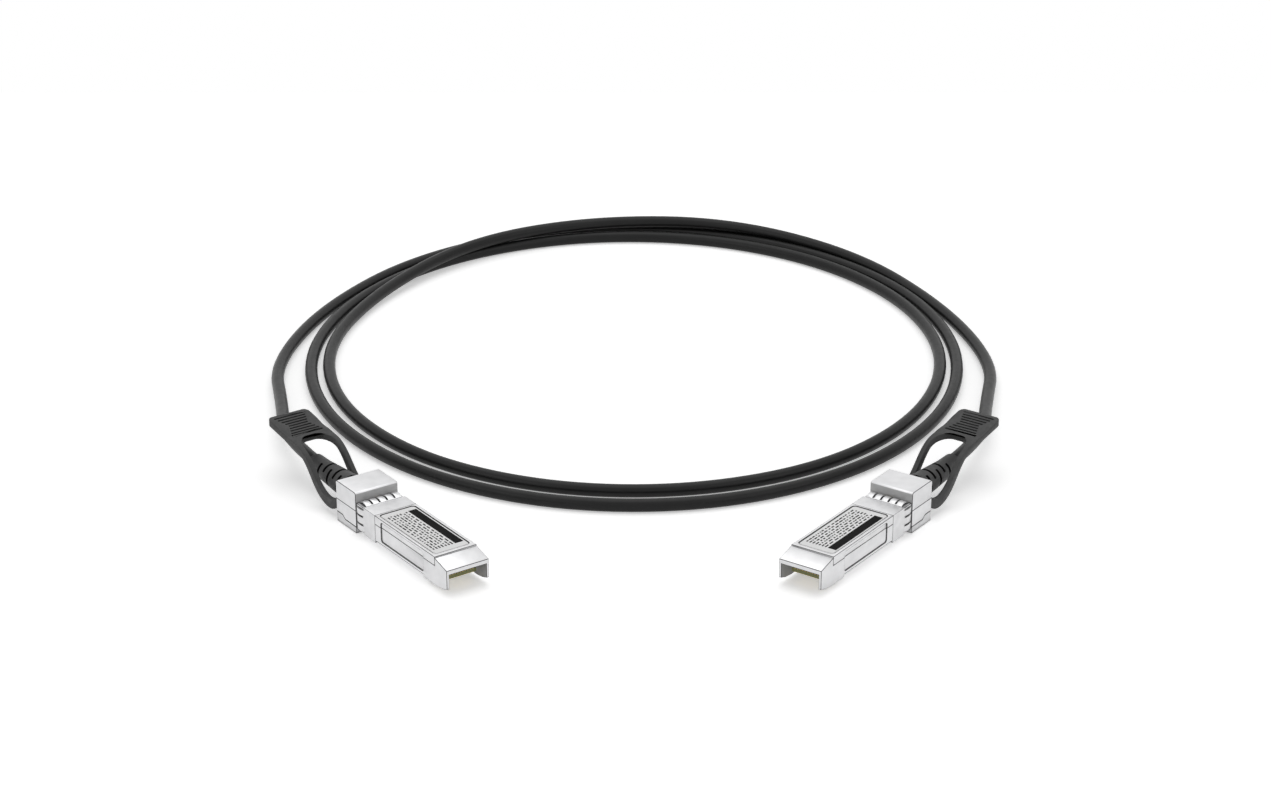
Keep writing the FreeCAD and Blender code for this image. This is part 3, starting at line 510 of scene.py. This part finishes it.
def boot(side):
    """The slotted boot, spun round the cable and pushed in at its slots."""
    bore = CABLE_RADIUS / MM
    half_step = math.pi / BOOT_FACETS
    slots = [SLOT_FIRST + i * SLOT_PITCH for i in range(SLOTS)]
    edges = [y for front in slots for y in (front, front + SLOT_WIDTH)]
    profile = [(BOOT_START, bore), (BOOT_START, FLANGE), (BOOT_STEP, FLANGE), (BOOT_STEP, NECK),
               (BOOT_HEAD, NECK), (BOOT_HEAD, ROOT)]
    profile += [(y, cone_radius(y)) for y in edges]
    profile += [(BOOT_TAPER_END, SLEEVE), (BOOT_END, SLEEVE), (BOOT_END, bore)]
    bm = bmesh.new()
    ring = [bm.verts.new((r * math.sin(half_step), y, AXIS_HEIGHT + r * math.cos(half_step)))
            for y, r in profile]
    for a, b in zip(ring, ring[1:] + ring[:1]):
        bm.edges.new((a, b))
    bmesh.ops.spin(bm, geom=bm.verts[:] + bm.edges[:], cent=(0, 0, AXIS_HEIGHT), axis=(0, 1, 0),
                   angle=2 * math.pi, steps=BOOT_FACETS, use_merge=True)
    bmesh.ops.recalc_face_normals(bm, faces=bm.faces)
    for i, front in enumerate(slots):
        cut = []
        for face in bm.faces:
            spot = face.calc_center_median()
            across, up = abs(spot.x), abs(spot.z - AXIS_HEIGHT)
            turn = math.degrees(math.atan2(across, up) if i % 2 == 0 else math.atan2(up, across))
            outer = math.hypot(across, up) > CORE
            if front < spot.y < front + SLOT_WIDTH and turn < SLOT_HALF_ANGLE and outer:
                cut.append(face)
        pushed = bmesh.ops.extrude_face_region(bm, geom=cut)["geom"]
        bmesh.ops.delete(bm, geom=cut, context="FACES")
        floor_verts = [v for v in pushed if isinstance(v, bmesh.types.BMVert)]
        for v in floor_verts:
            out = Vector((v.co.x, 0, v.co.z - AXIS_HEIGHT)).normalized() * CORE
            v.co = Vector((out.x, v.co.y, out.z + AXIS_HEIGHT))
        # Each slot's floor and walls take groove_shade: painted shade in the slot.
        for face in {f for v in floor_verts for f in v.link_faces}:
            face.material_index = 1
    bmesh.ops.recalc_face_normals(bm, faces=bm.faces)
    for face in bm.faces:
        face.smooth = True
    bm.transform(PLACE[side] @ Matrix.Scale(MM, 4))
    piece = new_piece(side + "_rubber_boot", finished_mesh("rubber_boot", bm))
    piece.data.materials.append(boot_plastic)
    piece.data.materials.append(groove_shade)
    break_edges(piece, SOFT_EDGE, SHARP_PLASTIC)
    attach(piece, FIXED)
    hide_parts(side + "_boot")
    return piece


for side in SIDES:
    print(boot(side).name)

# %% [markdown]
# ## The pull tab
#
# The solid gives the strap its line and its grooves. Two things are shaped here: the
# finger hole reaches a little further back, and a thumb scoop sinks each side of the pad.

# %% The pull tab
HOLE_STRETCH_FROM, HOLE_BACK, HOLE_GAIN, HOLE_HALF = 78.3, 82.35, 2.0, 5.15
PAD_TILT = math.tan(math.radians(7.5))
PAD_TOP_AT, PAD_TOP = 83.4, 13.9
SCOOP_MIDDLE, SCOOP_REACH, SCOOP_FROM, SCOOP_DEPTH = 88.6, 4.4, 5.05, 0.35
TAB_HALF, SCOOP_CUTS_ACROSS, SCOOP_CUTS_ALONG = 6.6, 4, 12
GROOVES_FROM, GROOVES_TO, GROOVE_HALF = 85.4, 97.6, 5.1
GROOVE_SUNK, TOP_WITHIN, CUT_WITHIN = (0.22, 0.6), 0.25, 1e-4


def pad_top(y):
    """Height of the pad's top face at a place along it."""
    return PAD_TOP + PAD_TILT * (y - PAD_TOP_AT)


def scoop(x, y):
    """How deep a thumb scoop is at a place on the pad."""
    along = (y - SCOOP_MIDDLE) / SCOOP_REACH
    across = (abs(x) - SCOOP_FROM) / (TAB_HALF - SCOOP_FROM)
    if abs(along) >= 1 or across <= 0:
        return 0
    ease = min(across, 1.0)
    return SCOOP_DEPTH * math.cos(along * math.pi / 2) ** 2 * ease * ease * (3 - 2 * ease)


def cut_faces(bm, place, normal, chosen):
    """Cuts the chosen faces along a plane."""
    faces = [f for f in bm.faces if chosen(f.calc_center_median())]
    parts = list({e for f in faces for e in f.edges}) + list({v for f in faces for v in f.verts})
    bmesh.ops.bisect_plane(bm, geom=parts + faces, dist=CUT_WITHIN,
                           plane_co=place, plane_no=normal)


def pull_tab(side):
    """The pull tab from its solid, with a longer hole, scoops and soft edges."""
    bm = bmesh.new()
    bm.from_mesh(nodes[side + "_pull_tab"].data)
    bm.transform(Matrix.Scale(1 / MM, 4) @ PLACE[side].inverted())
    bmesh.ops.remove_doubles(bm, verts=bm.verts, dist=SAME_PLACE)
    bmesh.ops.dissolve_limit(bm, angle_limit=FLAT, verts=bm.verts, edges=bm.edges)
    for v in bm.verts:
        if HOLE_STRETCH_FROM < v.co.y < HOLE_BACK and abs(v.co.x) < HOLE_HALF:
            gain = HOLE_GAIN * (v.co.y - HOLE_STRETCH_FROM) / (HOLE_BACK - HOLE_STRETCH_FROM)
            v.co.y += gain
            v.co.z += gain * PAD_TILT
    for way in (-1, 1):
        for i in range(SCOOP_CUTS_ACROSS):
            x = way * (SCOOP_FROM + (TAB_HALF - SCOOP_FROM) * i / SCOOP_CUTS_ACROSS)
            cut_faces(bm, (x, 0, 0), (1, 0, 0), lambda spot: spot.y > SCOOP_MIDDLE - SCOOP_REACH)
    for i in range(SCOOP_CUTS_ALONG + 1):
        y = SCOOP_MIDDLE + SCOOP_REACH * (2 * i / SCOOP_CUTS_ALONG - 1)
        cut_faces(bm, (0, y, 0), (0, 1, 0), lambda spot: abs(spot.x) > SCOOP_FROM)
    for v in bm.verts:
        if abs(v.co.z - pad_top(v.co.y)) < TOP_WITHIN:
            v.co.z -= scoop(v.co.x, v.co.y)
    # Groove floors and walls take groove_shade: painted shade in the grooves.
    for face in bm.faces:
        face.smooth = True
        spot = face.calc_center_median()
        sunk = pad_top(spot.y) - spot.z
        in_groove = GROOVES_FROM < spot.y < GROOVES_TO and abs(spot.x) < GROOVE_HALF
        in_groove = in_groove and GROOVE_SUNK[0] < sunk < GROOVE_SUNK[1]
        face.material_index = 1 if in_groove else 0
    bm.transform(PLACE[side] @ Matrix.Scale(MM, 4))
    piece = new_piece(side + "_tab", finished_mesh("tab", bm))
    piece.data.materials.append(tab_plastic)
    piece.data.materials.append(groove_shade)
    break_edges(piece, SOFT_EDGE, SHARP_PLASTIC)
    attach(piece, BODY[side])
    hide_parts(side + "_pull_tab")
    return piece


for side in SIDES:
    print(pull_tab(side).name)

# %% [markdown]
# ## The return springs
#
# A folded spring is squeezed when the tab is pulled: its back end stays on the casting's end
# wall while its front end goes with the slide's post. Here the springs are only a merged
# copy of the solid, which does not move with the slide.


def return_springs(side):
    """The two folded springs of a plug, copied from its solid and left unsqueezed."""
    bm = bmesh.new()
    bm.from_mesh(nodes[side + "_return_springs"].data)
    bmesh.ops.remove_doubles(bm, verts=bm.verts, dist=SAME_PLACE * MM)
    piece = new_piece(side + "_folded_springs", finished_mesh("folded_springs", bm))
    piece.data.materials.append(spring)
    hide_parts(side + "_return_springs")
    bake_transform(piece)
    return piece


for side in SIDES:
    print(return_springs(side).name)

# %% [markdown]
# ## Print on the labels
#
# The labels say nothing: a dark band and rows of plain dashes stand for print.

# %% Label print
LABEL_TOP = top_of("left", "label") / MM
PRINT_THICK, PRINT_SEED = 0.02, 7
BAND = ((2.4, 5.0), (10.0, 34.6))
ROWS, ROW_FIRST, ROW_PITCH, ROW_WIDTH = 7, -4.5, 0.98, 0.42
DASHES_FROM, DASHES_TO = 10.0, 34.4
DASH, GAP = (0.4, 1.8), (0.3, 1.0)  # shortest and longest


def plate(bm, x_range, y_range):
    """A thin flat plate of print on the label."""
    size = Vector((x_range[1] - x_range[0], y_range[1] - y_range[0], PRINT_THICK))
    middle = Vector((sum(x_range) / 2, sum(y_range) / 2, LABEL_TOP + PRINT_THICK / 2))
    bmesh.ops.create_cube(bm, size=1,
                          matrix=Matrix.Translation(middle) @ Matrix.Diagonal((*size, 1)))


def label_print(side):
    """A dark band and rows of dashes on a plug's label."""
    bm = bmesh.new()
    plate(bm, *BAND)
    rng = random.Random(PRINT_SEED)
    for row in range(ROWS):
        x = ROW_FIRST + row * ROW_PITCH
        y = DASHES_FROM
        while y < DASHES_TO:
            length = rng.uniform(*DASH)
            plate(bm, (x, x + ROW_WIDTH), (y, min(y + length, DASHES_TO)))
            y += length + rng.uniform(*GAP)
    bm.transform(PLACE[side] @ Matrix.Scale(MM, 4))
    piece = new_piece(side + "_label_print", finished_mesh("label_print", bm))
    piece.data.materials.append(ink)
    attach(piece, FIXED)
    return piece


for side in SIDES:
    print(label_print(side).name)

# %% [markdown]
# ## Finishes on the solids that stay
#
# Small inner parts are already right as they are, and only need their finish.

# %% Finishes on the solids
FINISH_OF = {
    "label": label_film, "paddle_card": board, "edge_contacts": gold, "board_parts": chip,
    "signal_pairs": wire, "jacket_end": jacket, "crimp_ferrule": brass,
    "shell_screw": screw_metal,
}

for side in SIDES:
    for name, material in FINISH_OF.items():
        solid = nodes[side + "_" + name]
        for place in solid.material_slots:
            place.material = material
        if not solid.material_slots:
            solid.data.materials.append(material)
